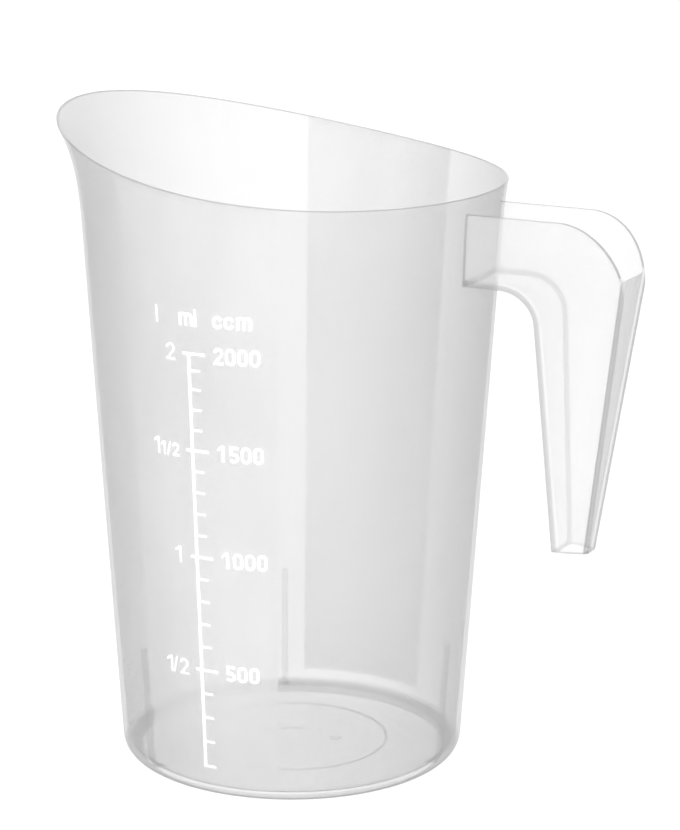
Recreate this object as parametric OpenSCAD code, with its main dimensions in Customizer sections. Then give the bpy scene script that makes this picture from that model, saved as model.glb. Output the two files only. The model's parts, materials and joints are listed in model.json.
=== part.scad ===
// Two litre measuring jug: one translucent moulding with a raked, flared mouth, a channel
// handle that hangs free at its lower end, and a printed volume scale.
// Origin: centre of the underside of the base. +Z up, +X towards the handle, spout at -X.

/* [Vessel] */
// Outside diameter of the tapered wall carried down to the table
base_d = 119.8; // [112:0.1:150]
// Slope of the outside wall from upright, in degrees
taper = 3.67; // [2:0.01:6]
// Height of the rim at the tip of the spout
spout_h = 228.5; // [210:0.5:275]
// Height of the rim half way along the jug
mid_h = 210.6; // [190:0.1:255]
// Height of the rim on the handle side
handle_side_h = 206.5; // [185:0.5:250]
// Wall thickness at the foot
wall_foot = 1.7; // [1.2:0.1:3]
// Wall thickness at the height of the spout's tip
wall_rim = 0.9; // [0.7:0.1:2]
// Thickness of the floor
floor_t = 2.5; // [1.5:0.1:5]
// Outside radius of the base edge
base_edge_r = 6.5; // [3:0.5:12]
// Inside radius between floor and wall
floor_fillet_r = 5; // [2:0.5:10]
// Height at which the mouth starts to flare
flare_start_h = 183.7; // [170:0.1:200]
// Extra radius of the flare at the tip of the spout
flare_out = 8; // [2:0.5:14]
// How late the flare turns outwards
flare_power = 3.5; // [2:0.1:5]

/* [Panels] */
// Half the angle that each fine-grained side panel spans
panel_half = 23; // [12:1:40]

/* [Stacking ribs] */
// Height of the ribs' tops above the table
rib_top_h = 46.2; // [20:0.1:80]
// Width of a rib
rib_w = 2; // [1:0.1:4]
// How far a rib stands in from the wall
rib_depth = 1.5; // [1:0.1:4]

/* [Floor marks] */
// Radius of the ring on the floor
ring_r = 33.8; // [15:0.1:45]
// Width of the ring
ring_w = 1; // [0.5:0.1:3]
// Height of the marks above the floor
mark_h = 0.35; // [0.2:0.05:1]
// Length of the gate mark
gate_l = 8; // [3:0.5:15]
// Diameter of the small round mark
dot_d = 4; // [2:0.5:8]

/* [Handle] */
// Drop from the rim to the top of the handle
handle_drop = 5.6; // [2:0.1:20]
// Depth of the arm from its top edge to its underside
arm_depth = 24.6; // [16:0.1:35]
// Width of the handle at its top edge
arm_w = 30; // [20:0.1:40]
// Gap for the fingers between wall and grip, just under the arm
finger_gap = 23.4; // [18:0.1:40]
// Depth of the grip from front to back, carried up to the arm's top edge
grip_depth = 34.3; // [24:0.1:45]
// Length of the handle from its top edge to its lower end
grip_l = 113.3; // [90:0.1:140]
// Depth of the grip at its lower end
grip_end_depth = 11.9; // [8:0.1:20]
// Width of the grip at its lower end
grip_end_w = 14.4; // [10:0.1:20]
// How far the inner face leans away from the wall over the grip's length
grip_lean = 6.7; // [0:0.1:20]
// Length over which each side narrows towards the outer face
corner_run = 14; // [6:0.5:20]
// Amount by which each side narrows there
corner_in = 3; // [0.5:0.1:5]
// Radius of the outer upright corners
corner_r = 1.6; // [1:0.1:4]
// Run of the top bend along the handle
bend_out_run = 21.5; // [15:0.5:28]
// Drop of the top bend
bend_out_drop = 25; // [15:0.5:40]
// Radius of the bend inside the finger gap
bend_in_r = 12; // [5:0.5:18]
// Thickness of the handle's sides and outer face
handle_wall = 1.6; // [1.2:0.1:2.5]
// Thickness of the web under the arm and along the grip's inner face
handle_web = 2.2; // [1.4:0.1:3.5]

/* [Printed scale] */
// Thickness of the ink
ink = 0.12; // [0.05:0.01:0.3]
// Direction of the scale's upright line, seen from above, in degrees
scale_az = -91.5; // [-100:0.5:-80]
// Volume of the top mark in millilitres
scale_top = 2000; // [500:500:2000]
// Volume between marks in millilitres
scale_step = 100; // [50:50:250]
// Width of the upright line
line_w = 1.1; // [0.5:0.1:2]
// Width of the long marks
major_w = 0.95; // [0.5:0.05:2]
// Width of the short marks
minor_w = 0.8; // [0.4:0.05:1.5]
// Length of the long marks on the side of the bold numerals
major_out = 6; // [4:0.1:7.5]
// Length of the long marks on the other side of the line
major_back = 2.3; // [1:0.1:4]
// Length of the short marks
minor_out = 3.9; // [2:0.1:6]
// Height of the bold numerals
bold_h = 5.7; // [4:0.1:7.5]
// Height of the light numerals
light_h = 5.8; // [4:0.1:7]
// Height of the unit letters
unit_h = 5.8; // [4:0.1:7.5]
// Distance from the line to the bold numerals
bold_gap = 9; // [8:0.1:12]
// Distance from the line to the light numerals
light_gap = 5.3; // [4:0.1:8]
// Height of the unit letters above the top mark, middle to middle
unit_rise = 12.2; // [9:0.1:14]
// How far the top mark is printed below its exact height
top_mark_drop = 1.4; // [0:0.1:2]

/* [Hidden] */
$fn = 96;
clear_pp = [0.93, 0.94, 0.94, 0.5];
grained_pp = [0.9, 0.91, 0.91, 0.7];
ink_white = [1, 1, 1];
slope = tan(taper);
big = 400;          // longer than anything it has to cut
arc_steps = 8;      // straight pieces in a quarter round of the profile
flare_steps = 10;   // straight pieces in the flared part of the profile
rim_steps = 28;     // straight pieces in the rim's side view
corner_curve = [0, 0.25, 0.5, 0.75];   // where the inward curve of the handle's sides is set out
rib_angles = [0, 120, -120];

// outside and inside radius of the wall at a height
function flare(z) = flare_out * pow(max(0, (z - flare_start_h) / (spout_h - flare_start_h)), flare_power);
function wall_t(z) = wall_foot + (wall_rim - wall_foot) * z / spout_h;
function r_out(z) = base_d / 2 + slope * z + flare(z);
function r_in(z) = r_out(z) - wall_t(z);

// the rim's side view: a parabola through the spout, the middle and the handle side
lip_x = -r_out(spout_h);
back_x = r_out(handle_side_h);
lip_slope = (spout_h - mid_h) / lip_x;
back_slope = (handle_side_h - mid_h) / back_x;
rim_bow = (back_slope - lip_slope) / (back_x - lip_x);
rim_fall = back_slope - rim_bow * back_x;
function rim_z(x) = mid_h + rim_fall * x + rim_bow * x * x;

// base edge: an arc between the underside and the tapered wall
edge_cx = base_d / 2 + slope * base_edge_r - base_edge_r / cos(taper);
// floor fillet: the same inside
in_slope = slope - (wall_rim - wall_foot) / spout_h;
in_taper = atan(in_slope);
in_foot = base_d / 2 - wall_foot;
fillet_z = floor_t + floor_fillet_r;
fillet_cx = in_foot + in_slope * fillet_z - floor_fillet_r / cos(in_taper);
wall_z = max(base_edge_r, fillet_z);   // the walls stand on the base at this height

function oval(cx, cz, rx, rz, a0, a1) =
  [for (i = [0:arc_steps]) let (a = a0 + (a1 - a0) * i / arc_steps) [cx + rx * cos(a), cz + rz * sin(a)]];
function arc(cx, cz, r, a0, a1) = oval(cx, cz, r, r, a0, a1);
flare_zs = [for (i = [0:flare_steps]) flare_start_h + (spout_h + 2 - flare_start_h) * i / flare_steps];

// height at which a volume in millilitres stands in the jug
in_floor = in_foot + in_slope * floor_t;
function level(ml) = (pow(3 * in_slope * ml * 1000 / PI + pow(in_floor, 3), 1 / 3) - in_foot) / in_slope;
// height at which that volume is printed: the last two marks crowd together a little
function mark_z(ml) = level(ml) - top_mark_drop * pow(max(0, (ml - scale_top + 200) / 200), 2);

handle_top = handle_side_h - handle_drop;
arm_under = handle_top - arm_depth;
grip_end = handle_top - grip_l;
grip_in_top = r_out(arm_under) + finger_gap;
grip_in_end = grip_in_top + grip_lean;
grip_out_top = grip_in_top + grip_depth;
grip_out_end = grip_in_end + grip_end_depth;
lean = grip_lean / (arm_under - grip_end);
bend_cx = grip_in_top + lean * bend_in_r - bend_in_r * sqrt(1 + lean * lean);
top_cx = grip_out_top + (grip_out_end - grip_out_top) * bend_out_drop / grip_l + 0.2 - bend_out_run;

// ---------------------------------------------------------------- vessel
module outer_solid(z0, z1) {
  rotate_extrude()
    polygon(concat([[0, z0], [r_out(z0), z0]], [for (z = flare_zs) if (z > z0 && z < z1) [r_out(z), z]],
      [[r_out(z1), z1], [0, z1]]));
}

module inner_solid(z1) {
  rotate_extrude()
    polygon(concat([[0, floor_t]], arc(fillet_cx, fillet_z, floor_fillet_r, -90, -in_taper),
      [[r_in(z1), z1], [0, z1]]));
}

module base() {
  color(clear_pp)
    rotate_extrude()
      polygon(concat([[0, 0]], arc(edge_cx, base_edge_r, base_edge_r, -90, -taper),
        [[r_out(wall_z), wall_z], [r_in(wall_z), wall_z]],
        arc(fillet_cx, fillet_z, floor_fillet_r, -in_taper, -90), [[0, floor_t]]));
}

module above_rim() {
  x0 = lip_x - 10;
  x1 = -x0;
  rotate([90, 0, 0])
    linear_extrude(height = big, center = true)
      polygon(concat([for (i = [0:rim_steps]) let (x = x0 + (x1 - x0) * i / rim_steps) [x, rim_z(x)]],
        [[x1, big], [x0, big]]));
}

module wall_sector(a0, a1) {
  difference() {
    rotate([0, 0, a0])
      rotate_extrude(angle = a1 - a0)
        polygon(concat([[r_in(wall_z), wall_z], [r_out(wall_z), wall_z]],
          [for (z = flare_zs) [r_out(z), z]],
          [for (i = [flare_steps:-1:0]) [r_in(flare_zs[i]), flare_zs[i]]]));
    above_rim();
  }
}

module scale_panel() { color(grained_pp) wall_sector(-90 - panel_half, -90 + panel_half); }
module plain_panel() { color(grained_pp) wall_sector(90 - panel_half, 90 + panel_half); }
module spout_wall() { color(clear_pp) wall_sector(90 + panel_half, 270 - panel_half); }
module handle_side_wall() { color(clear_pp) wall_sector(-90 + panel_half, 90 - panel_half); }

// ---------------------------------------------------------------- stacking ribs
module rib(angle) {
  color(clear_pp)
    intersection() {
      rotate([0, 0, angle])
        rotate([90, 0, 0])
          linear_extrude(height = rib_w, center = true)
            polygon([[r_in(0) - rib_depth, 0], [r_in(rib_top_h) - rib_depth, rib_top_h],
              [r_in(rib_top_h) + 2, rib_top_h], [r_in(0) + 2, 0]]);
      inner_solid(rib_top_h + 1);
    }
}

module rib_handle_side() { rib(rib_angles[0]); }
module rib_plain_side() { rib(rib_angles[1]); }
module rib_scale_side() { rib(rib_angles[2]); }

// ---------------------------------------------------------------- floor marks
module floor_ring() {
  color(clear_pp)
    translate([0, 0, floor_t])
      difference() {
        cylinder(h = mark_h, r = ring_r + ring_w / 2);
        translate([0, 0, -1]) cylinder(h = mark_h + 2, r = ring_r - ring_w / 2);
      }
}

module gate_mark() {
  color(clear_pp)
    rotate([0, 0, 27])
      translate([-gate_l / 2, 7, floor_t])
        cube([gate_l, 1, mark_h]);
}

module cavity_mark() {
  color(clear_pp)
    translate([15, 5, floor_t])
      difference() {
        cylinder(h = mark_h, d = dot_d);
        translate([0, 0, -1]) cylinder(h = mark_h + 2, d = dot_d - 1.4);
      }
}

// ---------------------------------------------------------------- handle
// the tapered body that bounds the handle's sides and outer face, drawn in by inset
module handle_sides(inset) {
  top = handle_top + 2;
  end = grip_end - (inset > 0 ? 1 : 0);
  t = (handle_top - top) / grip_l;
  e = (handle_top - end) / grip_l;
  hull()
    for (f = [t, e]) {
      half = arm_w / 2 + (grip_end_w - arm_w) / 2 * f - inset;
      out = grip_out_top + (grip_out_end - grip_out_top) * f - inset;
      r = max(0.3, corner_r - inset);
      z = handle_top - grip_l * f;
      for (s = [-1, 1])
        translate([0, 0, z]) {
          translate([out - r, s * (half - corner_in - r), -0.01]) cylinder(h = 0.01, r = r, $fn = 32);
          for (d = corner_curve)
            translate([out - corner_run * (1 - d), s * (half - 0.15 - corner_in * d * d), -0.01])
              cylinder(h = 0.01, r = 0.15, $fn = 16);
          translate([in_foot, s * (half - 0.15), -0.01]) cylinder(h = 0.01, r = 0.15, $fn = 16);
        }
    }
}

// side view of the arm and grip, with the web's thickness added for the hollow inside
module handle_profile(web, spare) {
  right = top_cx + bend_out_run + spare;
  rotate([90, 0, 0])
    linear_extrude(height = arm_w + 10, center = true)
      polygon(concat(
        [[in_foot, arm_under + web]],
        arc(bend_cx, arm_under - bend_in_r, bend_in_r + web, 90, atan(lean)),
        [[grip_in_end + web + lean * spare, grip_end - spare], [right, grip_end - spare]],
        spare > 0 ? [[right, handle_top + spare]] :
          oval(top_cx, handle_top - bend_out_drop, bend_out_run, bend_out_drop, 0, 90),
        [[in_foot, handle_top + spare]]));
}

module whole_handle() {
  difference() {
    intersection() { handle_sides(0); handle_profile(0, 0); }
    intersection() { handle_sides(handle_wall); handle_profile(handle_web, 3); }
    outer_solid(arm_under - 5, handle_side_h + 5);
  }
}

module from_bend(side) {
  translate([side > 0 ? bend_cx : bend_cx - big, -big / 2, 0]) cube([big, big, big]);
}

module handle_arm() { color(clear_pp) intersection() { whole_handle(); from_bend(-1); } }
module handle_grip() { color(clear_pp) intersection() { whole_handle(); from_bend(1); } }

// ---------------------------------------------------------------- printed scale
// lays a flat shape on the wall: s along the wall from the upright line, z up
module print_at(s, z) {
  reach = 12;
  intersection() {
    rotate([0, 0, scale_az + s / r_out(z) * 180 / PI])
      translate([r_out(z) - 4, 0, z])
        rotate([90, 0, 90])
          linear_extrude(height = 8) children();
    difference() {
      ink_skin(z - reach, z + reach, ink);
      ink_skin(z - reach - 1, z + reach + 1, 0);
    }
  }
}

module ink_skin(z0, z1, extra) {
  translate([0, 0, z0])
    rotate_extrude()
      polygon([[0, 0], [r_out(0) + slope * z0 + extra, 0], [r_out(0) + slope * z1 + extra, z1 - z0],
        [0, z1 - z0]]);
}

module bar(x0, x1, y0, y1) { translate([x0, y0]) square([x1 - x0, y1 - y0]); }

module ring_part(cx, cy, r, w, a0, a1) {
  steps = 6;
  translate([cx, cy])
    intersection() {
      difference() { circle(r = r); circle(r = r - w); }
      polygon(concat([[0, 0]],
        [for (i = [0:steps]) let (a = a0 + (a1 - a0) * i / steps) [2 * r * cos(a), 2 * r * sin(a)]]));
    }
}

module stadium(w, h) {
  translate([-w / 2, w / 2 - h / 2]) square([w, h - w]);
  for (s = [-1, 1]) translate([0, s * (h - w) / 2]) circle(d = w);
}

// numerals and letters, centred on the origin, h tall with stroke w
function digit_w(h) = 0.61 * h;

module digit_0(h, w) {
  difference() { stadium(digit_w(h), h); stadium(digit_w(h) - 2 * w, h - 2 * w); }
}

module digit_1(h, w) {
  x = 0.08 * h;
  polygon([[x - w / 2, -h / 2], [x + w / 2, -h / 2], [x + w / 2, h / 2], [x - 0.1 * h, h / 2],
    [-0.27 * h, h * 0.3], [-0.27 * h, h * 0.3 - w], [x - w / 2, h * 0.36 - w * 0.3]]);
}

module digit_2(h, w) {
  r = digit_w(h) / 2;
  cy = h / 2 - r;
  bar(-r, r, -h / 2, -h / 2 + w);
  ring_part(0, cy, r, w, -40, 180);
  polygon([[-r * 0.98, -h / 2 + w * 0.6], [-r + w * 1.3, -h / 2 + w * 0.6],
    [(r - w * 0.1) * cos(-31), cy + (r - w * 0.1) * sin(-31)],
    [(r - w * 0.88) * cos(-27), cy + (r - w * 0.88) * sin(-27)]]);
}

module digit_5(h, w) {
  r = digit_w(h) / 2;
  cy = -h / 2 + r;
  bar(-r * 0.8, r * 0.92, h / 2 - w, h / 2);
  bar(-r * 0.8, -r * 0.8 + w * 0.9, cy + r * 0.42, h / 2);
  ring_part(0, cy, r, w, -150, 128);
}

module slash(h, w) {
  polygon([[-0.14 * h - w / 2, -h / 2], [-0.14 * h + w / 2, -h / 2], [0.14 * h + w / 2, h / 2],
    [0.14 * h - w / 2, h / 2]]);
}

module letter_l(h, w) { bar(-w / 2, w / 2, -h / 2, h / 2); }

module letter_c(h, w) {
  x = 0.74 * h;
  wide = 0.62 * h;
  translate([0, (x - h) / 2])
    difference() {
      stadium(wide, x);
      stadium(wide - 2 * w, x - 2 * w);
      polygon([[0.06 * h, 0], [wide, 0.62 * wide], [wide, -0.62 * wide]]);
    }
}

module letter_m(h, w) {
  x = 0.74 * h;
  r = 0.225 * h;
  for (s = [-1, 0, 1]) bar(s * (2 * r - w / 2) - w / 2, s * (2 * r - w / 2) + w / 2, -h / 2, x - h / 2 - r);
  bar(-2 * r, -2 * r + w, -h / 2, x - h / 2);
  for (s = [-1, 1]) ring_part(s * (r - w / 4), x - h / 2 - r - 0.001, r + w / 4, w, 0, 180);
}

// a row of bold noughts after the first digits of a numeral
module bold_zeros(z, first, last) {
  for (i = [first:last]) print_at(bold_x(i), z) digit_0(bold_h, bold_stroke);
}

bold_stroke = 0.17 * bold_h;
light_stroke = 0.14 * light_h;
unit_stroke = 0.17 * unit_h;
bold_pitch = digit_w(bold_h) * 1.19;
light_pitch = digit_w(light_h) * 1.12;
function bold_x(i) = bold_gap + digit_w(bold_h) / 2 + bold_pitch * i;
function light_x(i) = -light_gap - digit_w(light_h) / 2 - light_pitch * i;
unit_z = mark_z(scale_top) + unit_rise;
marks = [for (v = [scale_step:scale_step:scale_top]) v];
function is_major(v) = v % 500 == 0;

module scale_line() {
  lowest = mark_z(scale_step) - minor_w / 2;
  highest = mark_z(scale_top) + major_w / 2;
  mid = (lowest + highest) / 2;
  color(ink_white)
    intersection() {
      rotate([0, 0, scale_az])
        translate([r_out(mid) - 20, -line_w / 2, lowest])
          cube([40, line_w, highest - lowest]);
      difference() {
        ink_skin(lowest - 1, highest + 1, ink);
        ink_skin(lowest - 2, highest + 2, 0);
      }
    }
}

module major_marks() {
  color(ink_white)
    for (v = marks)
      if (is_major(v)) {
        print_at(0, mark_z(v)) bar(line_w / 2, major_out, -major_w / 2, major_w / 2);
        print_at(0, mark_z(v)) bar(-major_back, -line_w / 2, -major_w / 2, major_w / 2);
      }
}

module minor_marks() {
  color(ink_white)
    for (v = marks)
      if (!is_major(v)) print_at(0, mark_z(v)) bar(line_w / 2, minor_out, -minor_w / 2, minor_w / 2);
}

module numeral_2000() {
  color(ink_white) {
    print_at(bold_x(0), mark_z(2000)) digit_2(bold_h, bold_stroke);
    bold_zeros(mark_z(2000), 1, 3);
  }
}

module numeral_1500() {
  color(ink_white) {
    print_at(bold_x(0), mark_z(1500)) digit_1(bold_h, bold_stroke);
    print_at(bold_x(1), mark_z(1500)) digit_5(bold_h, bold_stroke);
    bold_zeros(mark_z(1500), 2, 3);
  }
}

module numeral_1000() {
  color(ink_white) {
    print_at(bold_x(0), mark_z(1000)) digit_1(bold_h, bold_stroke);
    bold_zeros(mark_z(1000), 1, 3);
  }
}

module numeral_500() {
  color(ink_white) {
    print_at(bold_x(0), mark_z(500)) digit_5(bold_h, bold_stroke);
    bold_zeros(mark_z(500), 1, 2);
  }
}

// one over two, h tall, standing on the same line as the light numerals
module half(z, h, middles) {
  low = z - (light_h - h) / 2;
  print_at(light_x(middles[0]), low) digit_2(h, light_stroke);
  print_at(light_x(middles[1]), low) slash(h, light_stroke * 0.9);
  print_at(light_x(middles[2]), low) digit_1(h, light_stroke);
}

module litre_two() { color(ink_white) print_at(light_x(0), mark_z(2000)) digit_2(light_h, light_stroke); }
module litre_one() { color(ink_white) print_at(light_x(0), mark_z(1000)) digit_1(light_h, light_stroke); }
module litre_half() { color(ink_white) half(mark_z(500), light_h, [0, 0.95, 1.5]); }

module litre_one_and_half() {
  color(ink_white) {
    half(mark_z(1500), light_h * 0.8, [-0.1, 0.62, 1.18]);
    print_at(light_x(1.85), mark_z(1500)) digit_1(light_h, light_stroke);
  }
}

module unit_l() { color(ink_white) print_at(-12.2, unit_z) letter_l(unit_h, light_stroke); }

module unit_ml() {
  color(ink_white) {
    print_at(-0.55, unit_z) letter_m(unit_h, unit_stroke);
    print_at(2.95, unit_z) letter_l(unit_h, unit_stroke);
  }
}

module unit_ccm() {
  color(ink_white) {
    print_at(bold_gap + 1.9, unit_z) letter_c(unit_h, unit_stroke);
    print_at(bold_gap + 5.9, unit_z) letter_c(unit_h, unit_stroke);
    print_at(bold_gap + 11, unit_z) letter_m(unit_h, unit_stroke);
  }
}

base();
scale_panel();
plain_panel();
spout_wall();
handle_side_wall();
handle_arm();
handle_grip();
rib_handle_side();
rib_plain_side();
rib_scale_side();
floor_ring();
gate_mark();
cavity_mark();
scale_line();
major_marks();
minor_marks();
numeral_2000();
numeral_1500();
numeral_1000();
numeral_500();
litre_two();
litre_one_and_half();
litre_one();
litre_half();
unit_l();
unit_ml();
unit_ccm();
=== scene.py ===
import json
import math
import bpy
from mathutils import Euler, Matrix, Vector

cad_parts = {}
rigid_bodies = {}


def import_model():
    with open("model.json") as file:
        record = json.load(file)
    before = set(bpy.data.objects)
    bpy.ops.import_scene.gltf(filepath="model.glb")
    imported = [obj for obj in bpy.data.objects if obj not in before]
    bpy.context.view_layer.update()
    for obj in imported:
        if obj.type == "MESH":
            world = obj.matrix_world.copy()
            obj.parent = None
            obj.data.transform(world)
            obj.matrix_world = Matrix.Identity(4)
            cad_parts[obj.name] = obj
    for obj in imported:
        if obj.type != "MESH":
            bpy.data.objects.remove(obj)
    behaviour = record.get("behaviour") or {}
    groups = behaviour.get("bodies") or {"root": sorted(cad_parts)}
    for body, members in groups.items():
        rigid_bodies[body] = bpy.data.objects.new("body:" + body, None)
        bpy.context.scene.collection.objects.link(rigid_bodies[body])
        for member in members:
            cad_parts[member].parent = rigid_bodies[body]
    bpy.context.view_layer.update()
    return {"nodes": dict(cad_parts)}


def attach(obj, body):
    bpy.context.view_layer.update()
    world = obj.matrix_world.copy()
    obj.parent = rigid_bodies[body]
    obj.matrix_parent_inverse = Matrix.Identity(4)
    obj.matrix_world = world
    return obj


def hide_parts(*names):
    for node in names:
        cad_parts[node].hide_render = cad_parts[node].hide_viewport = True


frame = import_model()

mm = 0.001
mergeGap = 0.002 * mm  # points closer than this become one


def deselectAll():
    if bpy.context.object and bpy.context.object.mode != "OBJECT":
        bpy.ops.object.mode_set(mode="OBJECT")
    bpy.ops.object.select_all(action="DESELECT")


def pick(obj):
    deselectAll()
    obj.select_set(True)
    bpy.context.view_layer.objects.active = obj


def selectInMesh(obj, kind, rule):
    # kind is VERT, EDGE or FACE, and rule says for each one whether it is selected
    pick(obj)
    bpy.ops.object.mode_set(mode="EDIT")
    bpy.ops.mesh.select_mode(type=kind)
    bpy.ops.mesh.select_all(action="DESELECT")
    bpy.ops.object.mode_set(mode="OBJECT")
    data = obj.data
    items = {"VERT": data.vertices, "EDGE": data.edges, "FACE": data.polygons}[kind]
    for item in items:
        item.select = bool(rule(item))
    bpy.ops.object.mode_set(mode="EDIT")


def settle(obj):
    # the place goes into the mesh, and the object sits at the origin
    pick(obj)
    bpy.ops.object.transform_apply(location=True, rotation=True, scale=True)
    return obj


def applyAll(obj):
    pick(obj)
    for modifier in list(obj.modifiers):
        bpy.ops.object.modifier_apply(modifier=modifier.name)


def facesOutwards(obj):
    pick(obj)
    bpy.ops.object.mode_set(mode="EDIT")
    bpy.ops.mesh.select_all(action="SELECT")
    bpy.ops.mesh.remove_doubles(threshold=mergeGap)
    bpy.ops.mesh.normals_make_consistent(inside=False)
    bpy.ops.object.mode_set(mode="OBJECT")


def smooth(obj, degrees=38):
    pick(obj)
    bpy.ops.object.shade_smooth_by_angle(angle=math.radians(degrees))


def softenEdges(obj, width, angle=30):
    # a rounding on every edge sharper than the angle, left for applyAll
    bevel = obj.modifiers.new("edges", "BEVEL")
    bevel.width = width
    bevel.segments = 3
    bevel.limit_method = "ANGLE"
    bevel.angle_limit = math.radians(angle)
    return bevel


def emptySlots(obj, count):
    # faces are given their slot while a piece is shaped, and paint fills the slots later
    obj.data.materials.clear()
    for _ in range(count):
        obj.data.materials.append(None)


def drawLine(name, points):
    # a line of edges in the upright plane through the handle, drawn one extrusion at a time
    deselectAll()
    x, z = points[0]
    bpy.ops.mesh.primitive_plane_add(size=1 * mm, location=(x, 0, z))
    obj = bpy.context.object
    obj.name = obj.data.name = name
    settle(obj)
    bpy.ops.object.mode_set(mode="EDIT")
    bpy.ops.mesh.select_mode(type="VERT")
    bpy.ops.mesh.select_all(action="SELECT")
    bpy.ops.mesh.merge(type="CENTER")
    for (x0, z0), (x1, z1) in zip(points, points[1:]):
        bpy.ops.mesh.extrude_region_move(TRANSFORM_OT_translate={"value": (x1 - x0, 0, z1 - z0)})
    bpy.ops.object.mode_set(mode="OBJECT")
    return obj


def lathe(name, points, steps):
    obj = drawLine(name, points)
    pick(obj)
    bpy.ops.object.mode_set(mode="EDIT")
    bpy.ops.mesh.select_all(action="SELECT")
    bpy.ops.mesh.spin(steps=steps, angle=2 * math.pi, center=(0, 0, 0), axis=(0, 0, 1))
    bpy.ops.object.mode_set(mode="OBJECT")
    facesOutwards(obj)
    return obj


def slab(name, points, width):
    # a closed outline in the same upright plane, filled and given a width along Y
    obj = drawLine(name, points)
    pick(obj)
    bpy.ops.object.mode_set(mode="EDIT")
    bpy.ops.mesh.select_all(action="SELECT")
    bpy.ops.mesh.edge_face_add()
    bpy.ops.transform.translate(value=(0, -width / 2, 0))
    bpy.ops.mesh.extrude_region_move(TRANSFORM_OT_translate={"value": (0, width, 0)})
    bpy.ops.object.mode_set(mode="OBJECT")
    facesOutwards(obj)
    return obj


def combine(obj, other, operation, careful=False):
    modifier = obj.modifiers.new(operation.lower(), "BOOLEAN")
    modifier.use_self = careful
    modifier.object = other
    modifier.operation = operation
    modifier.solver = "EXACT"
    applyAll(obj)
    bpy.data.objects.remove(other)


def arcPoints(cx, cz, radius, start, end, steps, upright=None):
    # upright is the half height where the arc is part of an oval
    turns = [math.radians(start + (end - start) * i / steps) for i in range(steps + 1)]
    return [(cx + radius * math.cos(a), cz + (upright or radius) * math.sin(a)) for a in turns]


# place and aim in mm, the roll in radians
cameraSetup = {"place": (456.64, -880.66, 375.49), "aim": (25.19, -13.33, 127.41), "roll": 0.0051,
               "lens": 127.2, "sensor": 36, "farthest": 50}

cameraData = bpy.data.cameras.new("jugCamera")
cameraData.lens = cameraSetup["lens"]
cameraData.sensor_width = cameraSetup["sensor"]
cameraData.clip_end = cameraSetup["farthest"]
camera = bpy.data.objects.new("jugCamera", cameraData)
bpy.context.scene.collection.objects.link(camera)
camera.location = Vector(cameraSetup["place"]) * mm
sight = (Vector(cameraSetup["aim"]) - Vector(cameraSetup["place"])).normalized()
levelTurn = sight.to_track_quat("-Z", "Y")
camera.rotation_mode = "QUATERNION"
camera.rotation_quaternion = Matrix.Rotation(-cameraSetup["roll"], 3, sight).to_quaternion() @ levelTurn
bpy.context.scene.camera = camera
print("camera placed")


# lengths in mm, angles in degrees; above rakeFrom the rings lean with the mouth
vessel = {
    "footDiameter": 119.8, "taper": 3.67, "spoutHeight": 228.5, "middleHeight": 210.6, "handleSideHeight": 206.5,
    "wallAtFoot": 1.7, "wallAtSpout": 0.9, "floorThickness": 2.5, "baseEdgeRadius": 6.5, "floorFilletRadius": 5.0,
    "flareStart": 183.7, "flareOut": 8.0, "flarePower": 3.5, "rakeFrom": 60.0,
    "panelHalfAngle": 23, "panelClearance": 0.03,
}
# how finely the wall is divided, with the radii in mm of the flat rings under the foot and on the floor
vesselMesh = {"stepAngle": 1, "lowerRings": 4, "upperRings": 44, "crowding": 1.35, "edgeSteps": 12,
              "filletSteps": 10, "lipSteps": 8, "lipRoom": 1.4, "footRings": (20, 40), "floorRings": (38, 18),
              "lead": 0.6}
# what counts as the same direction or height when a panel is cut free, in degrees and mm, and, from acrossWall
# on, how far the normal of a joint face may lean
panelCut = {"angle": 0.2, "height": 0.01, "foot": 0.001, "hub": 10, "ledge": 0.1,
            "acrossWall": 0.35, "upright": 0.3}
# where the edges painted with shade lie, in mm; lipShare is the part of the wall's thickness that the lip's
# rounding takes
vesselEdges = {"underTop": 4, "cornerTop": 2.2, "filletFoot": 0.7, "lipShare": 0.55}
# the rim and dark slots are painted shade, darker copies of the wall's plastic
rimFace, seamFace, darkFace = 1, 2, 3  # the vessel's material slots; 0 is the wall itself

vesselSize = {key: value * mm for key, value in vessel.items()}
slope = math.tan(math.radians(vessel["taper"]))
floorTop = vesselSize["floorThickness"]
baseRadius = vesselSize["baseEdgeRadius"]
filletRadius = vesselSize["floorFilletRadius"]
spoutTop = vesselSize["spoutHeight"]
rakeFrom = vesselSize["rakeFrom"]


def wallThickness(z):
    return vesselSize["wallAtFoot"] + (vesselSize["wallAtSpout"] - vesselSize["wallAtFoot"]) * z / spoutTop


def outerRadius(z):
    rise = max(0.0, (z - vesselSize["flareStart"]) / (spoutTop - vesselSize["flareStart"]))
    return vesselSize["footDiameter"] / 2 + slope * z + vesselSize["flareOut"] * rise ** vessel["flarePower"]


def innerRadius(z):
    return outerRadius(z) - wallThickness(z)


lipX, backX = -outerRadius(spoutTop), outerRadius(vesselSize["handleSideHeight"])
lipSlope = (spoutTop - vesselSize["middleHeight"]) / lipX
backSlope = (vesselSize["handleSideHeight"] - vesselSize["middleHeight"]) / backX
rimBow = (backSlope - lipSlope) / (backX - lipX)
rimFall = backSlope - rimBow * backX


def rimHeight(angle):
    # height of the rim in a direction: the side view is a parabola in x, and the steps settle on it
    z = vesselSize["middleHeight"]
    for _ in range(30):
        x = outerRadius(z) * math.cos(angle)
        z = vesselSize["middleHeight"] + rimFall * x + rimBow * x * x
    return z


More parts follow.
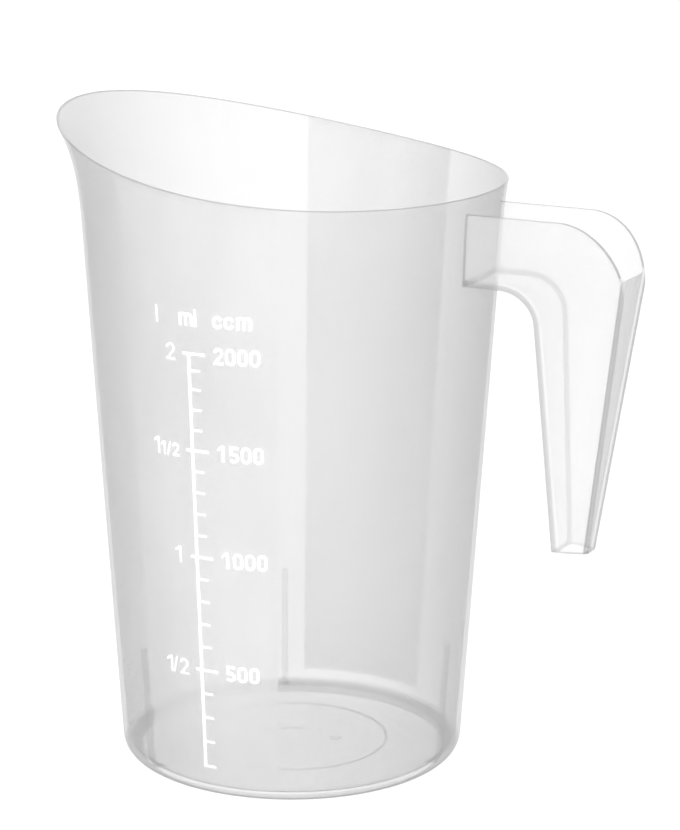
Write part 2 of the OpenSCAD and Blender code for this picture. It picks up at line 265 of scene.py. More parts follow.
taperAngle = math.radians(vessel["taper"])
insideSlope = slope - (vesselSize["wallAtSpout"] - vesselSize["wallAtFoot"]) / spoutTop
insideTaper = math.atan(insideSlope)
insideFoot = vesselSize["footDiameter"] / 2 - vesselSize["wallAtFoot"]
edgeCentre = vesselSize["footDiameter"] / 2 + slope * baseRadius - baseRadius / math.cos(taperAngle)
filletZ = floorTop + filletRadius
filletCentre = insideFoot + insideSlope * filletZ - filletRadius / math.cos(insideTaper)
wallStart = max(baseRadius, filletZ)


def vesselProfile():
    lowCount, highCount, lead = vesselMesh["lowerRings"], vesselMesh["upperRings"], vesselMesh["lead"] * mm
    heights = [wallStart + (rakeFrom - wallStart) * i / lowCount for i in range(lowCount + 1)]
    heights += [rakeFrom + (spoutTop - rakeFrom) * (1 - (1 - i / highCount) ** vesselMesh["crowding"])
                for i in range(1, highCount)]
    lip = wallThickness(spoutTop) * 0.5
    heights = [z for z in heights if z < spoutTop - vesselMesh["lipRoom"] * lip]
    points = [(0, 0)] + [(radius * mm, 0) for radius in vesselMesh["footRings"]] + [(edgeCentre - lead, 0)]
    points += arcPoints(edgeCentre, baseRadius, baseRadius, -90, -vessel["taper"], vesselMesh["edgeSteps"])
    points += [(outerRadius(z), z) for z in heights]
    for i in range(vesselMesh["lipSteps"] + 1):
        turn = math.pi * i / vesselMesh["lipSteps"]
        side = 0.5 - 0.5 * math.cos(turn)
        z = spoutTop - lip * (1 - math.sin(turn))
        points.append((outerRadius(z) - side * wallThickness(z), z))
    points += [(innerRadius(z), z) for z in reversed(heights)]
    points += arcPoints(filletCentre, filletZ, filletRadius, -math.degrees(insideTaper), -90,
                        vesselMesh["filletSteps"])
    points += [(filletCentre - lead, floorTop)]
    points += [(radius * mm, floorTop) for radius in vesselMesh["floorRings"]] + [(0, floorTop)]
    return points


def rakeMouth(obj):
    # the rings above rakeFrom slide up or down the wall until the last one lies on the slanting rim
    heights = {}
    for vertex in obj.data.vertices:
        x, y, z = vertex.co
        if z <= rakeFrom:
            continue
        angle = math.atan2(y, x)
        key = round(math.degrees(angle) * 100)
        if key not in heights:
            heights[key] = rimHeight(angle)
        side = (outerRadius(z) - math.hypot(x, y)) / wallThickness(z)
        z = rakeFrom + (z - rakeFrom) * (heights[key] - rakeFrom) / (spoutTop - rakeFrom)
        radius = outerRadius(z) - side * wallThickness(z)
        vertex.co = (radius * math.cos(angle), radius * math.sin(angle), z)


def turnFrom(point, middle):
    # degrees from a direction to a point, -180 to 180
    return (math.degrees(math.atan2(point[1], point[0])) - middle + 180) % 360 - 180


def onLevel(point, z):
    return abs(point.z - z) < panelCut["height"] * mm


def closeSector(obj, middles, isPanel):
    # caps the open edges that a separated sector leaves: two upright ends and a ledge for each
    half, snap = vessel["panelHalfAngle"], panelCut["angle"]
    foot, hub = wallStart - panelCut["foot"] * mm, panelCut["hub"] * mm
    for middle in middles:
        for end in (middle - half, middle + half):
            selectInMesh(obj, "VERT", lambda v: v.co.z > foot and math.hypot(v.co.x, v.co.y) > hub
                         and abs(turnFrom(v.co, end)) < snap)
            bpy.ops.mesh.edge_face_add()
            bpy.ops.object.mode_set(mode="OBJECT")
    for middle in middles:
        counts = {}
        for polygon in obj.data.polygons:
            for key in polygon.edge_keys:
                counts[key] = counts.get(key, 0) + 1
        vertices = obj.data.vertices
        selectInMesh(obj, "EDGE", lambda e: counts.get(tuple(sorted(e.vertices)), 0) == 1
                     and all(onLevel(vertices[i].co, wallStart) for i in e.vertices)
                     and all(abs(turnFrom(vertices[i].co, middle)) < half + snap for i in e.vertices))
        bpy.ops.mesh.fill(use_beauty=True)
        bpy.ops.object.mode_set(mode="OBJECT")
    if isPanel:
        # a hair of room all round, so that no face of the panel lies in a face of the shell
        shift = vesselSize["panelClearance"]
        for vertex in obj.data.vertices:
            off = turnFrom(vertex.co, middles[0])
            if abs(off) > half - snap:
                turn = -math.copysign(shift / math.hypot(vertex.co.x, vertex.co.y), off)
                vertex.co = Matrix.Rotation(turn, 3, "Z") @ vertex.co
            if onLevel(vertex.co, wallStart):
                vertex.co.z += shift
    facesOutwards(obj)
    emptySlots(obj, 4)
    ledge = panelCut["ledge"] * mm
    for polygon in obj.data.polygons:
        x, y, z = polygon.center
        outwards = (polygon.normal.x * x + polygon.normal.y * y) / max(math.hypot(x, y), 1e-6)
        across = abs(outwards) < panelCut["acrossWall"]
        upright = abs(polygon.normal.z) < panelCut["upright"]
        if z > wallStart - ledge and across and (upright or z < wallStart + ledge):
            polygon.material_index = seamFace
    smooth(obj)


def markEdges(obj):
    # the rounded top of the wall, the base's edge and the fillet's foot get darker slots than the wall, painted
    # shade for the dark lines light draws along clear plastic's edges
    underTop, cornerTop = vesselEdges["underTop"] * mm, vesselEdges["cornerTop"] * mm
    filletFoot = floorTop + vesselEdges["filletFoot"] * mm
    lip = vesselEdges["lipShare"] * wallThickness(spoutTop)
    for polygon in obj.data.polygons:
        x, y, z = polygon.center
        radius = math.hypot(x, y)
        underEdge = z < underTop and radius > edgeCentre
        if underEdge or (floorTop < z < filletFoot and radius > filletCentre):
            polygon.material_index = darkFace if z < cornerTop else rimFace
        highest = rimHeight(math.atan2(y, x))
        if z > highest - lip * (highest - rakeFrom) / (spoutTop - rakeFrom):
            polygon.material_index = rimFace


jug = lathe("jugShell", vesselProfile(), 360 // vesselMesh["stepAngle"])
rakeMouth(jug)
panels = {}
for name, middle in (("scalePanel", -90), ("plainPanel", 90)):
    before = set(bpy.data.objects)
    selectInMesh(jug, "FACE", lambda f: f.center.z > wallStart
                 and abs(turnFrom(f.center, middle)) < vessel["panelHalfAngle"])
    bpy.ops.mesh.separate(type="SELECTED")
    bpy.ops.object.mode_set(mode="OBJECT")
    panel = (set(bpy.data.objects) - before).pop()
    panel.name = panel.data.name = name
    panels[name] = panel
    closeSector(panel, [middle], True)
closeSector(jug, [-90, 90], False)
for piece in (jug, panels["scalePanel"], panels["plainPanel"]):
    markEdges(piece)
print("vessel made:", len(jug.data.polygons), "faces")


# lengths in mm, directions in degrees from the handle; seat is the gap kept to the wall and floor
rib = {"top": 46.2, "width": 2.0, "depth": 1.5, "seat": 0.03, "edge": 0.42, "edgeAngle": 40,
       "directions": {"ribPlainSide": 120, "ribScaleSide": -120}}
floorMarks = {"height": 0.35, "seat": 0.02, "roundShare": 0.45, "roundStep": 0.3,
              "ringRadius": 33.8, "ringWidth": 1.0, "ringSteps": 120,
              "dashLength": 8.0, "dashWidth": 1.0, "dashPlace": 7.5, "dashTurn": 27, "dashEdge": 0.14,
              "dotPlace": (15.0, 5.0), "dotDiameter": 4.0, "dotLine": 0.7, "dotSteps": 48}


def makeRibs():
    top, depth, seat = rib["top"] * mm, rib["depth"] * mm, rib["seat"] * mm
    floor, bend = floorTop + seat, filletRadius - seat
    points = [(innerRadius(0) - depth + insideSlope * floor, floor)]
    for degrees in (0, 15, 30, 45, 60, 75, 90 - math.degrees(insideTaper)):
        turn = math.radians(degrees)
        points.append((filletCentre + bend * math.sin(turn), filletZ - bend * math.cos(turn)))
    points += [(innerRadius(top) - seat, top), (innerRadius(top) - depth, top)]
    first = slab("ribHandleSide", points, rib["width"] * mm)
    emptySlots(first, 2)
    # the rounded edges take the rim's slot, painted shade
    softenEdges(first, rib["edge"] * mm, rib["edgeAngle"]).material = rimFace
    applyAll(first)
    smooth(first)
    made = [first]
    for name, direction in rib["directions"].items():
        copy = first.copy()
        copy.data = first.data.copy()
        copy.name = copy.data.name = name
        bpy.context.scene.collection.objects.link(copy)
        copy.rotation_euler = Euler((0, 0, math.radians(direction)))
        settle(copy)
        made.append(copy)
    return made


def makeRing(name, place, radius, width, steps):
    floor, height = floorTop + floorMarks["seat"] * mm, floorMarks["height"] * mm
    inner, outer, top = radius - width / 2, radius + width / 2, floor + height
    rounding = height * floorMarks["roundShare"]
    step = rounding * floorMarks["roundStep"]
    section = [(inner, floor), (outer, floor), (outer, top - rounding), (outer - step, top - step),
               (outer - rounding, top), (inner + rounding, top), (inner + step, top - step),
               (inner, top - rounding), (inner, floor)]
    ring = lathe(name, section, steps)
    ring.location = (place[0], place[1], 0)
    settle(ring)
    smooth(ring, 50)
    return ring


def makeDash():
    middle = floorTop + (floorMarks["seat"] + floorMarks["height"] / 2) * mm
    deselectAll()
    bpy.ops.mesh.primitive_cube_add(size=1, location=(0, floorMarks["dashPlace"] * mm, middle))
    made = bpy.context.object
    made.name = made.data.name = "gateMark"
    made.scale = [floorMarks[key] * mm for key in ("dashLength", "dashWidth", "height")]
    settle(made)
    made.rotation_euler = Euler((0, 0, math.radians(floorMarks["dashTurn"])))
    settle(made)
    softenEdges(made, floorMarks["dashEdge"] * mm)
    applyAll(made)
    smooth(made, 50)
    return made


ribs = makeRibs()
floorRing = makeRing("floorRing", (0, 0), floorMarks["ringRadius"] * mm, floorMarks["ringWidth"] * mm,
                     floorMarks["ringSteps"])
dot = makeRing("cavityMark", [c * mm for c in floorMarks["dotPlace"]],
               (floorMarks["dotDiameter"] - floorMarks["dotLine"]) / 2 * mm, floorMarks["dotLine"] * mm,
               floorMarks["dotSteps"])
dash = makeDash()
print("ribs and floor marks made")


# lengths in mm: depths run outwards, widths sideways and drops down, and skin is shaved off all round
handle = {
    "drop": 5.6, "armDepth": 24.6, "armWidth": 30.0, "fingerGap": 23.4, "gripDepth": 34.3, "gripLength": 113.3,
    "gripEndDepth": 11.9, "gripEndWidth": 14.4, "gripLean": 6.7, "cornerRun": 14.0, "cornerIn": 3.0,
    "cornerRadius": 1.6, "bendRun": 21.5, "bendDrop": 25.0, "bendOut": 0.1, "innerBend": 12.0,
    "wall": 1.6, "web": 2.2, "edge": 0.65, "wallClearance": 0.02, "skin": 0.06,
}
# how far the rough bodies run past the finished handle before they are cut, and, from leastCorner on, the
# smallest corner rounding and the straight bit before a bend, in mm
handleCut = {"above": 2, "below": 0.5, "hollowBelow": 1, "outlineIn": 1, "hollowIn": 3, "hollowOutlineIn": 4,
             "hollowSpare": 3, "sides": 10, "wallReach": 5, "leastCorner": 0.3, "nearBend": 0.5}
handleMesh = {"cornerCuts": 4, "cornerSteps": 6, "innerBendSteps": 18, "outerBendSteps": 24,
              "wallRings": 12, "wallSteps": 180}
# which faces show as plate, edge, outer wall or web, slots painted lighter or darker for light and shade: shares of
# a whole, and snap and channel in mm
handleFaces = {"plateWay": 0.9, "edgeWay": 0.12, "cornerReach": 1.5, "bendShare": 0.985, "snap": 0.1, "channel": 4}
plateFace, edgeFace, outerFace, webFace = range(4)  # the handle's material slots

handleSize = {key: value * mm for key, value in handle.items()}
cutSize = {key: value * mm for key, value in handleCut.items()}
gripLength, bendRun, bendDrop = handleSize["gripLength"], handleSize["bendRun"], handleSize["bendDrop"]
innerBend = handleSize["innerBend"]
handleTop = vesselSize["handleSideHeight"] - handleSize["drop"]
armUnder = handleTop - handleSize["armDepth"]
gripEnd = handleTop - gripLength
gripInTop = outerRadius(armUnder) + handleSize["fingerGap"]
gripInEnd = gripInTop + handleSize["gripLean"]
gripOutTop = gripInTop + handleSize["gripDepth"]
gripOutEnd = gripInEnd + handleSize["gripEndDepth"]
lean = handleSize["gripLean"] / (armUnder - gripEnd)
bendCentre = gripInTop + lean * innerBend - innerBend * math.sqrt(1 + lean * lean)


def outerSide(z):
    # how far out the grip's outer wall lies at a height
    return gripOutTop + (gripOutEnd - gripOutTop) * (handleTop - z) / gripLength


topCentre = outerSide(handleTop - bendDrop) - bendRun + handleSize["bendOut"]


def tapered(name, inset, top, end, start):
    # a cube pulled into the handle's tapering body, its outer corners narrowed and rounded
    deselectAll()
    bpy.ops.mesh.primitive_cube_add(size=2)
    obj = bpy.context.object
    obj.name = obj.data.name = name
    armHalf, endHalf = handleSize["armWidth"] / 2, handleSize["gripEndWidth"] / 2
    for vertex in obj.data.vertices:
        x, y, z = vertex.co
        z = top if z > 0 else end
        half = armHalf + (endHalf - armHalf) * (handleTop - z) / gripLength - inset
        vertex.co = (outerSide(z) - inset if x > 0 else start, math.copysign(half, y), z)
    outTop, outEnd = outerSide(top) - inset, outerSide(end) - inset
    cutWay = Vector((outTop - outEnd, 0, top - end)).normalized().cross(Vector((0, 1, 0)))
    run = handleSize["cornerRun"]
    pick(obj)
    bpy.ops.object.mode_set(mode="EDIT")
    for i in range(handleMesh["cornerCuts"]):
        bpy.ops.mesh.select_all(action="SELECT")
        place = outTop - run * (1 - i / handleMesh["cornerCuts"])
        bpy.ops.mesh.bisect(plane_co=(place, 0, top), plane_no=cutWay)
    bpy.ops.object.mode_set(mode="OBJECT")

    def outAt(z):
        return outEnd + (outTop - outEnd) * (z - end) / (top - end)

    for vertex in obj.data.vertices:
        share = max(0.0, 1 - (outAt(vertex.co.z) - vertex.co.x) / run)
        vertex.co.y -= math.copysign(handleSize["cornerIn"] * share * share, vertex.co.y)
    vertices = obj.data.vertices
    near, tall = 1 * mm, 10 * mm

    def isCorner(edge):
        a, b = (vertices[i].co for i in edge.vertices)
        return all(p.x > outAt(p.z) - near for p in (a, b)) and abs(a.z - b.z) > tall

    selectInMesh(obj, "EDGE", isCorner)
    bpy.ops.mesh.bevel(offset=max(cutSize["leastCorner"], handleSize["cornerRadius"] - inset),
                       segments=handleMesh["cornerSteps"], affect="EDGES")
    bpy.ops.object.mode_set(mode="OBJECT")
    facesOutwards(obj)
    return obj


def sideView(name, web, spare, start):
    # the handle's outline from the side; with some spare it runs past the top, the end and the outside
    right, near = topCentre + bendRun + spare, cutSize["nearBend"]
    points = [(start, armUnder + web), (bendCentre - near, armUnder + web)]
    points += arcPoints(bendCentre, armUnder - innerBend, innerBend + web, 90, math.degrees(math.atan(lean)),
                        handleMesh["innerBendSteps"])
    x, z = points[-1]
    points += [(x + lean * near, z - near), (gripInEnd + web + lean * spare, gripEnd - spare)]
    points += [(right, gripEnd - spare)]
    if spare:
        points += [(right, handleTop + spare)]
    else:
        points += [(right, handleTop - bendDrop - near)]
        points += arcPoints(topCentre, handleTop - bendDrop, bendRun, 0, 90, handleMesh["outerBendSteps"], bendDrop)
        points += [(topCentre - near, handleTop)]
    points += [(start, handleTop + spare)]
    return slab(name, points, handleSize["armWidth"] + cutSize["sides"])


def markHandle(obj):
    snap, channel = handleFaces["snap"] * mm, handleFaces["channel"] * mm
    emptySlots(obj, 4)
    for polygon in obj.data.polygons:
        x, y, z = polygon.center
        sideways = abs(polygon.normal.y)
        if sideways > handleFaces["edgeWay"]:
            polygon.material_index = edgeFace if sideways < handleFaces["plateWay"] else plateFace
            continue
        bendShare = math.hypot((x - topCentre) / bendRun, (z - handleTop + bendDrop) / bendDrop)
        onBend = x > topCentre and z > handleTop - bendDrop and bendShare > handleFaces["bendShare"]
        plateEdge = abs(y) > channel and (z > handleTop - snap or onBend)
        atWall = math.hypot(x, y) < outerRadius(z) + handleSize["wallClearance"] + snap
        atOuter = x > outerSide(z) - handleFaces["cornerReach"] * handleSize["cornerRadius"]
        if plateEdge or atWall or z < gripEnd + snap:
            polygon.material_index = edgeFace
        else:
            polygon.material_index = outerFace if atOuter else webFace


def makeHandle():
    above = handleTop + cutSize["above"]
    body = tapered("jugHandle", handleSize["skin"], above, gripEnd - cutSize["below"], insideFoot)
    combine(body, sideView("outline", 0, 0, insideFoot - cutSize["outlineIn"]), "INTERSECT")
    hollow = tapered("hollow", handleSize["wall"], above, gripEnd - cutSize["hollowBelow"],
                     insideFoot - cutSize["hollowIn"])
    combine(hollow, sideView("hollowOutline", handleSize["web"], cutSize["hollowSpare"],
                             insideFoot - cutSize["hollowOutlineIn"]), "INTERSECT")
    combine(body, hollow, "DIFFERENCE")
    softenEdges(body, handleSize["edge"])
    applyAll(body)
    # the jug's outer surface, as a solid, cuts off what runs into the wall
    low, high = armUnder - cutSize["wallReach"], vesselSize["handleSideHeight"] + cutSize["wallReach"]
    rings = handleMesh["wallRings"]
    heights = [low + (high - low) * i / rings for i in range(rings + 1)]
    side = [(0, low)] + [(outerRadius(z) + handleSize["wallClearance"], z) for z in heights] + [(0, high)]
    combine(body, lathe("wallCutter", side, handleMesh["wallSteps"]), "DIFFERENCE", careful=True)
    if min(math.hypot(v.co.x, v.co.y) for v in body.data.vertices) < outerRadius(0):
        raise RuntimeError("the handle still reaches inside the wall")
    facesOutwards(body)
    markHandle(body)
    smooth(body, 32)
    return body


jugHandle = makeHandle()
print("handle made:", len(jugHandle.data.polygons), "faces")


def nodeSet(name):
    material = bpy.data.materials.new(name)
    material.use_nodes = True
    tree = material.node_tree
    tree.nodes.clear()
    return material, tree


def addNode(tree, kind, inputs=None, **values):
    node = tree.nodes.new(kind)
    for key, value in values.items():
        setattr(node, key, value)
    for socket, value in (inputs or {}).items():
        node.inputs[socket].default_value = value
    return node


def link(tree, source, target):
    tree.links.new(source, target)


def newGroup(name, ins, outs):
    group = bpy.data.node_groups.new(name, "ShaderNodeTree")
    for label, value in ins.items():
        socket = group.interface.new_socket(name=label, in_out="INPUT", socket_type="NodeSocketFloat")
        socket.default_value = value
    for label in outs:
        group.interface.new_socket(name=label, in_out="OUTPUT", socket_type="NodeSocketFloat")
    return group, group.nodes.new("NodeGroupInput"), group.nodes.new("NodeGroupOutput")


def flowMask():
    # slow upright streaks and cloudiness left by the melt as it filled the mould, 0 to 1
    group, source, result = newGroup("flowMask", {"Streaks": 60.0}, ["Mask"])
    place = addNode(group, "ShaderNodeTexCoord")
    stretch = addNode(group, "ShaderNodeVectorMath", {1: (1, 1, 0.16)}, operation="MULTIPLY")
    streaks = addNode(group, "ShaderNodeTexNoise", {"Detail": 4})
    clouds = addNode(group, "ShaderNodeTexNoise", {"Scale": 18, "Detail": 3})
    both = addNode(group, "ShaderNodeMath", {1: 0.5}, operation="MULTIPLY_ADD")
    half = addNode(group, "ShaderNodeMath", {1: 0.5}, operation="MULTIPLY")
    link(group, place.outputs["Object"], stretch.inputs[0])
    link(group, stretch.outputs[0], streaks.inputs["Vector"])
    link(group, source.outputs["Streaks"], streaks.inputs["Scale"])
    link(group, place.outputs["Object"], clouds.inputs["Vector"])
    link(group, clouds.outputs[0], half.inputs[0])
    link(group, streaks.outputs[0], both.inputs[0])
    link(group, half.outputs[0], both.inputs[2])
    link(group, both.outputs[0], result.inputs["Mask"])
    return group


def surfaceHeight():
    # fine pitting with long faint scuffs, as a height for bumps
    group, source, result = newGroup("surfaceHeight", {"Pits": 1500.0, "Scuffs": 0.3}, ["Height"])
    place = addNode(group, "ShaderNodeTexCoord")
    pits = addNode(group, "ShaderNodeTexNoise", {"Detail": 5})
    stretch = addNode(group, "ShaderNodeVectorMath", {1: (260, 260, 26)}, operation="MULTIPLY")
    scuffs = addNode(group, "ShaderNodeTexNoise", {"Scale": 4, "Distortion": 1.5})
    total = addNode(group, "ShaderNodeMath", operation="MULTIPLY_ADD")
    link(group, place.outputs["Object"], pits.inputs["Vector"])
    link(group, source.outputs["Pits"], pits.inputs["Scale"])
    link(group, place.outputs["Object"], stretch.inputs[0])
    link(group, stretch.outputs[0], scuffs.inputs["Vector"])
    link(group, scuffs.outputs[0], total.inputs[0])
    link(group, source.outputs["Scuffs"], total.inputs[1])
    link(group, pits.outputs[0], total.inputs[2])
    link(group, total.outputs[0], result.inputs["Height"])
    return group


def footShadeMask():
    # 1 at the table, fading to 0 further up: it paints shade on the plastics, darker towards the foot, where less
    #                                         light reaches; the wall is thickest there too
    group, source, result = newGroup("footShadeMask", {"Reach": 0.075}, ["Mask"])
    place = addNode(group, "ShaderNodeTexCoord")
    parts = addNode(group, "ShaderNodeSeparateXYZ")
    fade = addNode(group, "ShaderNodeMapRange", {"To Min": 1, "To Max": 0}, interpolation_type="SMOOTHSTEP")
    link(group, place.outputs["Object"], parts.inputs[0])
    link(group, parts.outputs["Z"], fade.inputs["Value"])
    link(group, source.outputs["Reach"], fade.inputs["From Max"])
    link(group, fade.outputs[0], result.inputs["Mask"])
    return group


def webShadeAndThicknessMask():
    # 1 along the inner outline of the handle, where the web backs the side plates, with a soft fade inwards: the
    # plates get painted shade from it, a dark line and a soft painted fade, and more cover for the web's plastic
    # behind
    group, source, result = newGroup("webShadeAndThicknessMask", {"Line": 0.0024, "Fade": 0.007, "Softness": 0.04}, ["Mask"])

    def maths(operation, a, b, clamp=False):
        node = addNode(group, "ShaderNodeMath", operation=operation, use_clamp=clamp)
        for socket, value in zip(node.inputs, (a, b)):
            if isinstance(value, (int, float)):
                socket.default_value = value
            else:
                link(group, value, socket)
        return node.outputs[0]

    place = addNode(group, "ShaderNodeTexCoord")
    parts = addNode(group, "ShaderNodeSeparateXYZ")
    link(group, place.outputs["Object"], parts.inputs[0])
    bendZ = armUnder - innerBend
    below = maths("MAXIMUM", maths("SUBTRACT", bendZ, parts.outputs["Z"]), 0)
    outFrom = maths("SUBTRACT", parts.outputs["X"], bendCentre)
    across = maths("MAXIMUM", maths("SUBTRACT", outFrom, maths("MULTIPLY", below, lean)), 0)
    up = maths("MAXIMUM", maths("SUBTRACT", parts.outputs["Z"], bendZ), 0)
    reach = maths("POWER", maths("ADD", maths("MULTIPLY", across, across), maths("MULTIPLY", up, up)), 0.5)
    inside = maths("SUBTRACT", reach, innerBend)
    line = maths("SUBTRACT", 1, maths("POWER", maths("DIVIDE", inside, source.outputs["Line"], True), 4), True)
    fade = maths("SUBTRACT", 1, maths("DIVIDE", inside, source.outputs["Fade"], True), True)
    soft = maths("MULTIPLY", fade, source.outputs["Softness"])
    link(group, maths("MAXIMUM", line, soft), result.inputs["Mask"])
    return group


flowGroup, heightGroup, footShadeGroup, webShadeAndThicknessGroup = flowMask(), surfaceHeight(), footShadeMask(), webShadeAndThicknessMask()

# shade is the grey each surface is painted, with painted light and shade in it for all but the grained panels, and
# through the light it lets by; one more value darkens both where the mask is: painted shade towards the foot and
# along the web on the plates;
# cover is how much of what is behind it hides, face on and at its edges, and denser adds to that along the web
plastics = {
    "clearPolypropylene": {
        "shade": 0.54, "shadeDrift": 0.05, "paintedShade": 0.03, "through": 0.78, "throughShare": 0.45,
        "cover": 0.12, "edgeCover": 0.46, "coverDrift": 0.04, "roughness": 0.22, "roughDrift": 0.12,
        "pits": 900, "scuffs": 0.8, "bump": 0.02},
    # painted shade: the clear plastic painted darker, for the rim, the base's edge, the fillet's foot and the ribs'
    # edges
    "rimPolypropylene": {
        "shade": 0.42, "shadeDrift": 0.05, "paintedShade": 0.04, "through": 0.6, "throughShare": 0.45,
        "cover": 0.32, "edgeCover": 0.65, "coverDrift": 0.04, "roughness": 0.25, "roughDrift": 0.1,
        "pits": 900, "scuffs": 0.4, "bump": 0.02},
    "seamPolypropylene": {
        "shade": 0.6, "shadeDrift": 0.05, "paintedShade": 0.03, "through": 0.85, "throughShare": 0.45,
        "cover": 0.01, "edgeCover": 0.06, "coverDrift": 0.01, "roughness": 0.3, "roughDrift": 0.1,
        "pits": 900, "scuffs": 0.4, "bump": 0.02},
    # painted light: the clear plastic painted brighter on the handle's side plates, which light shines through from
    # behind
    "platePolypropylene": {
        "shade": 0.96, "shadeDrift": 0.04, "paintedShade": 0.5, "denser": 0.32, "through": 0.99, "throughShare": 0.5,
        "cover": 0.25, "edgeCover": 0.4, "coverDrift": 0.05, "roughness": 0.25, "roughDrift": 0.1,
        "pits": 900, "scuffs": 0.9, "bump": 0.03},
    # painted light: the clear plastic painted brighter on the handle's web
    "webPolypropylene": {
        "shade": 0.92, "shadeDrift": 0.04, "paintedShade": 0.0, "through": 0.98, "throughShare": 0.5,
        "cover": 0.1, "edgeCover": 0.24, "coverDrift": 0.02, "roughness": 0.25, "roughDrift": 0.1,
        "pits": 900, "scuffs": 0.9, "bump": 0.03},
    # painted shade: the clear plastic painted darker on the handle's outer wall, which faces away from the light
    "outerPolypropylene": {
        "shade": 0.5, "shadeDrift": 0.04, "paintedShade": 0.0, "through": 0.7, "throughShare": 0.5,
        "cover": 0.1, "edgeCover": 0.42, "coverDrift": 0.03, "roughness": 0.25, "roughDrift": 0.1,
        "pits": 900, "scuffs": 0.9, "bump": 0.03},
    # painted shade: the clear plastic painted darkest on the handle's rounded edges and the base's corner
    "cornerPolypropylene": {
        "shade": 0.28, "shadeDrift": 0.05, "paintedShade": 0.0, "through": 0.4, "throughShare": 0.4,
        "cover": 0.4, "edgeCover": 0.7, "coverDrift": 0.06, "roughness": 0.25, "roughDrift": 0.1,
        "pits": 900, "scuffs": 0.4, "bump": 0.02},
    "grainedPolypropylene": {
        "shade": 0.87, "shadeDrift": 0.1, "paintedShade": 0.08, "through": 0.92, "throughShare": 0.5,
        "cover": 0.55, "edgeCover": 0.8, "coverDrift": 0.06, "roughness": 0.5, "roughDrift": 0.15,
        "pits": 2600, "scuffs": 0.1, "bump": 0.3},
}
plasticBase = {"ior": 1.49, "bumpDistance": 0.2, "flowLow": 0.3, "flowHigh": 0.7, "brightest": 0.99}


def makePlastic(name):
    look = plastics[name]
    material, tree = nodeSet(name)
    out = addNode(tree, "ShaderNodeOutputMaterial")
    flow = addNode(tree, "ShaderNodeGroup", node_tree=flowGroup)
    mask = addNode(tree, "ShaderNodeGroup", node_tree=webShadeAndThicknessGroup if "denser" in look else footShadeGroup)
    marks = {"Pits": look["pits"], "Scuffs": look["scuffs"]}
    height = addNode(tree, "ShaderNodeGroup", marks, node_tree=heightGroup)
    bump = addNode(tree, "ShaderNodeBump", {"Strength": look["bump"], "Distance": plasticBase["bumpDistance"] * mm})
    link(tree, height.outputs["Height"], bump.inputs["Height"])

    def drifting(low, high):
        # a value that wanders between two limits with the flow of the melt
        node = addNode(tree, "ShaderNodeMapRange", {
            "From Min": plasticBase["flowLow"], "From Max": plasticBase["flowHigh"], "To Min": low, "To Max": high})
        link(tree, flow.outputs["Mask"], node.inputs["Value"])
        return node.outputs[0]

    body = addNode(tree, "ShaderNodeBsdfPrincipled", {"IOR": plasticBase["ior"]})
    through = addNode(tree, "ShaderNodeBsdfTranslucent")
    half = look["shadeDrift"] / 2
    # where the mask is, both greys are painted darker: painted shade
    for value, socket in ((look["shade"], body.inputs["Base Color"]), (look["through"], through.inputs["Color"])):
        grey = addNode(tree, "ShaderNodeCombineColor")
        level = addNode(tree, "ShaderNodeMath", {1: -look["paintedShade"] * value}, operation="MULTIPLY_ADD")
        link(tree, mask.outputs["Mask"], level.inputs[0])
        link(tree, drifting(value - half, min(plasticBase["brightest"], value + half)), level.inputs[2])
        for channel in range(3):
            link(tree, level.outputs[0], grey.inputs[channel])
        link(tree, grey.outputs[0], socket)
    link(tree, drifting(look["roughness"], look["roughness"] + look["roughDrift"]), body.inputs["Roughness"])
    link(tree, bump.outputs[0], body.inputs["Normal"])
    both = addNode(tree, "ShaderNodeMixShader", {0: look["throughShare"]})
    link(tree, body.outputs[0], both.inputs[1])
    link(tree, through.outputs[0], both.inputs[2])
    seen = addNode(tree, "ShaderNodeBsdfTransparent")
    facing = addNode(tree, "ShaderNodeLayerWeight", {"Blend": 0.5})
    cover = addNode(tree, "ShaderNodeMapRange", {"To Min": look["cover"], "To Max": look["edgeCover"]})
    link(tree, facing.outputs["Facing"], cover.inputs["Value"])
    drift = addNode(tree, "ShaderNodeMath", operation="ADD")
    link(tree, cover.outputs[0], drift.inputs[0])
    link(tree, drifting(-look["coverDrift"] / 2, look["coverDrift"] / 2), drift.inputs[1])
    if "denser" in look:
        denser = addNode(tree, "ShaderNodeMath", {1: look["denser"]}, operation="MULTIPLY_ADD")
        link(tree, mask.outputs["Mask"], denser.inputs[0])
        link(tree, drift.outputs[0], denser.inputs[2])
        drift = denser
    final = addNode(tree, "ShaderNodeMixShader")
    link(tree, drift.outputs[0], final.inputs[0])
    link(tree, seen.outputs[0], final.inputs[1])
    link(tree, both.outputs[0], final.inputs[2])
    link(tree, final.outputs[0], out.inputs[0])
    return material


# cover is how solid the print is and wear how far it varies
inks = {"boldInk": {"cover": 0.97, "wear": 0.08}, "faintInk": {"cover": 0.5, "wear": 0.2}}
# glow is painted light: the print shines a little of its own, so that it stays white on the plastic
inkBase = {"pits": 1800, "bump": 0.1, "bumpDistance": 0.1, "roughness": 0.5, "glow": 0.45, "darkest": 0.9,
           "brightest": 0.97}


